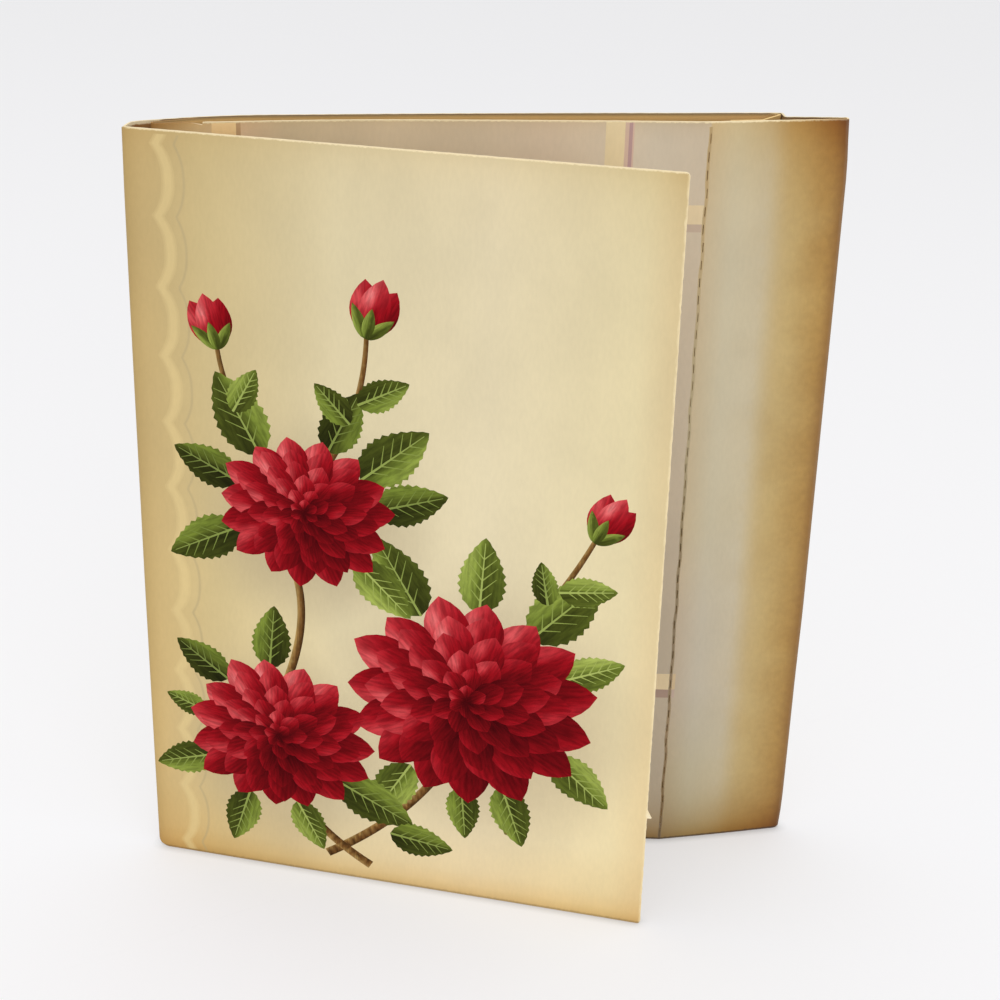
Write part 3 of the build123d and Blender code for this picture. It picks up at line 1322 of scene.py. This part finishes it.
def card_material():
    """Matt printed card: aged paper with fibres, foxing, rubbed edges and brushed print, with painted
    highlight and painted shade along some edges.
    """
    material = bpy.data.materials.new("card_stock")
    material.use_nodes = True
    shader = Shader(material.node_tree)
    tint = shader.layer("print", "Color")
    brush = shader.layer("brush", "Vector")
    front = shader.layer("front", "Fac")
    on_print = shader.math("GREATER_THAN", front, (on_front + on_wall) / 2)
    on_plain = shader.math("LESS_THAN", front, (on_back + on_wall) / 2)
    sheet = shader.node("UVMap", {})
    sheet.uv_map = "sheet"
    place = sheet.outputs["UV"]
    along, height = (shader.times(part, map_scale) for part in shader.split(place)[:2])
    from_top = shader.math("SUBTRACT", card_height, height)
    painted_share = shader.split(brush)[2]

    # Uneven paper and brush strokes
    clouds = shader.noise(place, *cloud_noise)
    fibres = shader.noise(place, *fibre_noise)
    mottle = shader.ease(shader.noise(place, *mottle_noise), *mottle_shades)
    strokes = shader.ease(shader.noise(brush, *stroke_noise), *stroke_shades)
    margin = shader.ease(along, fold_run, slit_run - margin_blend, 1.0, 0.0)
    margin = shader.times(margin, shader.math("GREATER_THAN", along, fold_run))
    tint = shader.shaded(tint, shader.ease(clouds, *cloud_shades))
    tint = shader.shaded(tint, shader.ease(fibres, *fibre_shades))
    tint = shader.mix(margin, tint, shader.shaded(tint, mottle))
    tint = shader.mix(painted_share, tint, shader.shaded(tint, strokes))

    # Foxing: a few of the cells hold a speck
    cells = shader.node("TexVoronoi", {"Vector": place, "Scale": speck_scale})
    pick = shader.node("SeparateColor", {0: cells.outputs["Color"]}).outputs[0]
    speck = shader.math("LESS_THAN", cells.outputs["Distance"], shader.ease(pick, *speck_sizes))
    tint = shader.mix(shader.times(speck, speck_strength), tint, speck_tone)

    # Print rubbed off along the free edge, the top and the right-hand fold. Along the top, the pale rim is
    # also a painted highlight where the rounded edge catches the light.
    rubbed_and_lit = shader.ease(shader.plus(along, fibres, free_edge_raggedness), *free_edge_rub)
    top_frayed = shader.plus(from_top, fibres, top_raggedness)
    cover_rim = shader.ease(along, spine_run - spine_blend, spine_run, cover_rim_share, 0.0)
    margin_rim = shader.ease(along, fold_run, slit_run - margin_blend, *margin_rim_shares)
    margin_rim = shader.times(margin_rim, shader.math("LESS_THAN", along, tear_run))
    rim = shader.math("MAXIMUM", cover_rim, margin_rim)
    rim = shader.times(shader.ease(top_frayed, *top_rim_rub_and_highlight), rim)
    rubbed_and_lit = shader.times(shader.math("MAXIMUM", rubbed_and_lit, rim), on_print)
    tint = shader.mix(rubbed_and_lit, tint, rubbed_and_highlight_tone)
    from_fold = shader.math("ABSOLUTE", shader.math("SUBTRACT", along, fold_run))
    from_fold = shader.plus(from_fold, fibres, fold_raggedness)
    tint = shader.mix(shader.times(shader.ease(from_fold, *fold_rub), on_print), tint, fold_rub_tone)

    # Pale rim inside the spine
    spine_end = back_run + spine_rim_reach
    in_spine = shader.ease(along, spine_end, spine_end + 1, 1.0, 0.0)
    past_start = shader.math("GREATER_THAN", along, spine_run + spine_rim_start)
    spine_rim = shader.times(shader.ease(top_frayed, *spine_rim_rub), on_plain, in_spine, past_start)
    tint = shader.mix(spine_rim, tint, spine_rim_tone)

    # Painted shade with some soil along the foot, where the card stands on the floor, and painted shade with
    # some dust along the inside's top edges, down in the gaps between layers
    soil_and_shade_share = shader.ease(along, spine_run - spine_blend, spine_run, cover_soil_and_shade_share, 1.0)
    foot = shader.ease(shader.plus(height, fibres, foot_raggedness), *foot_soil_and_shade)
    past_spine = shader.math("SUBTRACT", 1.0, in_spine)
    soiled_and_shaded = shader.times(soil_and_shade_share, foot, on_print)
    dusty_and_shaded = shader.times(shader.ease(from_top, *top_dust_and_shade), on_plain, past_spine)
    tint = shader.mix(shader.math("MAXIMUM", soiled_and_shaded, dusty_and_shaded), tint, soil_and_shade_tone)

    # Surface
    grain = shader.noise(place, *grain_noise)
    relief = shader.node("Bump", {
        "Strength": relief_strength,
        "Distance": relief_depth,
        "Height": shader.plus(fibres, grain, relief_grain),
    })
    shader.fill(material.node_tree.nodes["Principled BSDF"], {
        "Base Color": tint,
        "Roughness": shader.plus(shader.ease(clouds, *roughness), painted_share, -painted_smoothness),
        "Specular IOR Level": shader.plus(gloss, painted_share, -painted_dullness),
        "Normal": relief.outputs["Normal"],
    })
    return material


mesh.materials.append(card_material())
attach(card, "root")
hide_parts("folded_card")

# Stage: a pale floor that glows a little, dimmer far away, with a painted contact shadow where its glow
# fades near the card
floor_mesh = bpy.data.meshes.new("floor")
floor_corners = [(-1, -1), (1, -1), (1, 1), (-1, 1)]
floor_mesh.from_pydata([(x * floor_half, y * floor_half, 0.0) for x, y in floor_corners], [], [(0, 1, 2, 3)])
floor = bpy.data.objects.new("floor", floor_mesh)
bpy.context.scene.collection.objects.link(floor)
floor_material = bpy.data.materials.new("floor")
floor_material.use_nodes = True
shader = Shader(floor_material.node_tree)
depth = shader.split(shader.node("NewGeometry", {}).outputs["Position"])[1]
# Painted contact shadow: the floor's glow fades where the card hems it in
contact_shade = shader.node("AmbientOcclusion", {"Distance": floor_contact_shade_reach}).outputs["AO"]
shader.fill(floor_material.node_tree.nodes["Principled BSDF"], {
    "Base Color": floor_colour,
    "Roughness": floor_roughness,
    "Specular IOR Level": floor_gloss,
    "Emission Color": floor_glow_colour,
    "Emission Strength": shader.times(shader.ease(depth, *floor_glow), contact_shade),
})
floor_mesh.materials.append(floor_material)

# Light: a pale room, brighter overhead, and one large soft lamp at the front right
world = bpy.data.worlds.new("room")
world.use_nodes = True
shader = Shader(world.node_tree)
upward = shader.split(shader.node("TexCoord", {}).outputs["Generated"])[2]
shader.fill(world.node_tree.nodes["Background"], {
    "Color": room_colour,
    "Strength": shader.ease(upward, *room_brightness),
})
bpy.context.scene.world = world
lamp_data = bpy.data.lights.new("softbox", "AREA")
lamp_data.shape = "SQUARE"
lamp_data.size = lamp_size
lamp_data.energy = lamp_power
lamp = bpy.data.objects.new("softbox", lamp_data)
lamp.location = lamp_place
lamp.rotation_euler = (lamp_target - lamp.location).to_track_quat("-Z", "Y").to_euler()
bpy.context.scene.collection.objects.link(lamp)

# Camera, fitted to the photograph's perspective
forward = Vector((
    math.sin(camera_yaw) * math.cos(camera_pitch),
    math.cos(camera_yaw) * math.cos(camera_pitch),
    -math.sin(camera_pitch),
))
level_right = Vector((math.cos(camera_yaw), -math.sin(camera_yaw), 0.0))
level_down = forward.cross(level_right)
right = level_right * math.cos(camera_roll) + level_down * math.sin(camera_roll)
down = level_down * math.cos(camera_roll) - level_right * math.sin(camera_roll)
camera_data = bpy.data.cameras.new("camera")
camera_data.sensor_width = camera_sensor
camera_data.lens = camera_lens
camera_data.shift_x = camera_shift
camera = bpy.data.objects.new("camera", camera_data)
camera_turn = Matrix((right, -down, -forward)).transposed().to_4x4()
camera.matrix_world = Matrix.Translation(camera_place) @ camera_turn
bpy.context.scene.collection.objects.link(camera)
bpy.context.scene.camera = camera
bpy.context.scene.view_settings.view_transform = "Standard"
